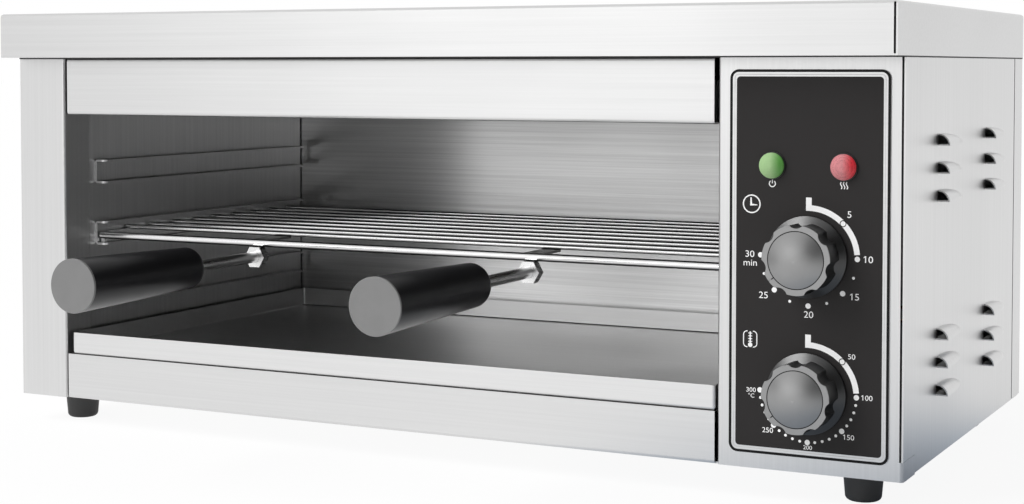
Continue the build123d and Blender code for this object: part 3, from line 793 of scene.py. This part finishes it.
def floor_paper():
    """White paper that keeps a faint shadow, and that reflections show darker near the shade's spot."""
    s = Shader("floor_paper")
    s.set(Base_Color=floor_grey, Roughness=0.9, Specular_IOR_Level=0.0)
    camera_ray = s.node("ShaderNodeLightPath").outputs["Is Camera Ray"]
    away = s.node("ShaderNodeVectorMath", operation="DISTANCE")
    away.inputs[1].default_value = shade_spot
    s.link(s.point(), away.inputs[0])
    fade = s.spread(away.outputs["Value"], From_Max=shade_reach)
    tone = s.ramp(fade, (0.0, shade_near), (1.0, WHITE), (0.5, shade_half))
    glow = s.node("ShaderNodeEmission")
    s.link(s.join("MAXIMUM", tone, camera_ray, "ShaderNodeVectorMath"), glow.inputs["Color"])
    s.link(s.spread(camera_ray, To_Min=mirrored_glow, To_Max=1.0), glow.inputs["Strength"])
    share = s.spread(camera_ray, To_Min=floor_mirrored, To_Max=floor_seen)
    blend = s.node("ShaderNodeMixShader")
    s.link(s.join("MULTIPLY", share, seen_directly(s.tree)), blend.inputs["Fac"])
    s.link(s.bsdf.outputs["BSDF"], blend.inputs[1])
    s.link(glow.outputs["Emission"], blend.inputs[2])
    s.link(blend.outputs["Shader"], s.tree.nodes["Material Output"].inputs["Surface"])
    return s.mat


def stage_mesh(name, points, faces, mat):
    """An object of the studio, which is no piece of the part."""
    mesh = bpy.data.meshes.new(name)
    mesh.from_pydata(points, [], faces)
    paint(mesh, mat)
    made = add_object(name, mesh)
    return made


half = floor_size / 2
stage_mesh("floor", [(x, y, 0) for x, y in bar(-half, half, -half, half)], [(0, 1, 2, 3)], floor_paper())


def studio_world(ambient):
    """White where it is seen directly, and dimmer as the light that spreads."""
    world = bpy.data.worlds.new("studio")
    world.use_nodes = True
    tree = world.node_tree
    soft = tree.nodes["Background"]
    white = tree.nodes.new("ShaderNodeBackground")
    for background, strength in ((soft, ambient), (white, 1.0)):
        background.inputs["Color"].default_value = WHITE
        background.inputs["Strength"].default_value = strength
    pick = tree.nodes.new("ShaderNodeMixShader")
    tree.links.new(seen_directly(tree), pick.inputs["Fac"])
    tree.links.new(soft.outputs["Background"], pick.inputs[1])
    tree.links.new(white.outputs["Background"], pick.inputs[2])
    tree.links.new(pick.outputs["Shader"], tree.nodes["World Output"].inputs["Surface"])
    return world


bpy.context.scene.world = studio_world(ambient=0.45)

# Lamps: places in metres, and powers in watts for the boxes and watts to a square metre for the suns
lamp_aim = Vector((0, 0, 0.1))
key_spot = (-1.1, -0.95, 1.45)
key_power = 3.0
key_angle = 40.0


def add_light(name, kind, spot, power):
    """A lamp that points at the part."""
    made = add_object(name, bpy.data.lights.new(name, kind))
    made.data.energy = power
    made.location = spot
    made.rotation_euler = (lamp_aim - Vector(spot)).to_track_quat("-Z", "Y").to_euler()
    return made


def add_box(name, spot, power, width, height):
    """A lamp with a wide soft front."""
    data = add_light(name, "AREA", spot, power).data
    data.shape = "RECTANGLE"
    data.size = width
    data.size_y = height


# The key lamp would burn out the sheets' bends, so only the knobs, grips and studs mirror it
shine_objects = bpy.data.collections.new("shine_objects")
for mat in (black_knob, black_grip, stud_steel):
    for name in finish[mat]:
        shine_objects.objects.link(nodes[name])
key = add_light("key", "SUN", key_spot, key_power)
key.visible_glossy = False
shine = add_light("shine", "SUN", key_spot, key_power)
shine.visible_diffuse = False
shine.light_linking.receiver_collection = shine_objects
for lamp in (key, shine):
    lamp.data.angle = math.radians(key_angle)
add_box("front_box", spot=(-1.2, -2.9, 0.8), power=4.6, width=1.6, height=1.2)
add_box("wide_box", spot=(-1.42, -3.2, 0.75), power=5.5, width=3.6, height=1.6)

# Cards round the front: a dark one deepens the steel's reflections at the right, a grey one dims its left end
card_away = 2.2
card_steps = 12
card_colour = (0.05, 0.05, 0.05, 1)


def studio_card(name, start, end, height, glow):
    """A curved card between two angles from the front, positive to the right, that only reflections show."""
    points = []
    for k in range(card_steps + 1):
        a = math.radians(start + (end - start) * k / card_steps)
        for z in (0.0, height):
            points.append((card_away * math.sin(a), -card_away * math.cos(a), z))
    faces = [(2 * k, 2 * k + 2, 2 * k + 3, 2 * k + 1) for k in range(card_steps)]
    felt = Shader(name)
    felt.set(Base_Color=card_colour, Roughness=0.9, Specular_IOR_Level=0.0)
    felt.set(Emission_Color=WHITE, Emission_Strength=glow)
    stage_mesh(name, points, faces, felt.mat).visible_camera = False


studio_card("dark_card", start=8, end=100, height=2.4, glow=0.0)
studio_card("grey_card", start=-75, end=-36, height=0.8, glow=0.9)

# Camera: the photograph's place, direction and framing, found from the cabinet's straight edges
image_w = 1024
image_h = 504
focal_px = 1852.9
centre_px = (508.5, 137.8)
camera_place = (868.6, -975.7, 223.4)
yaw = math.radians(26.89)
pitch = math.radians(2.197)
camera_data = bpy.data.cameras.new("camera")
camera_data.sensor_width = 36.0
camera_data.lens = focal_px / image_w * camera_data.sensor_width
camera_data.shift_x = (image_w / 2 - centre_px[0]) / image_w
camera_data.shift_y = (centre_px[1] - image_h / 2) / image_w
camera = add_object("camera", camera_data)
camera.location = at(*camera_place)
look = Vector((-math.sin(yaw) * math.cos(pitch), math.cos(yaw) * math.cos(pitch), -math.sin(pitch)))
camera.rotation_euler = look.to_track_quat("-Z", "Y").to_euler()
bpy.context.scene.camera = camera
bpy.context.scene.view_settings.view_transform = "Standard"
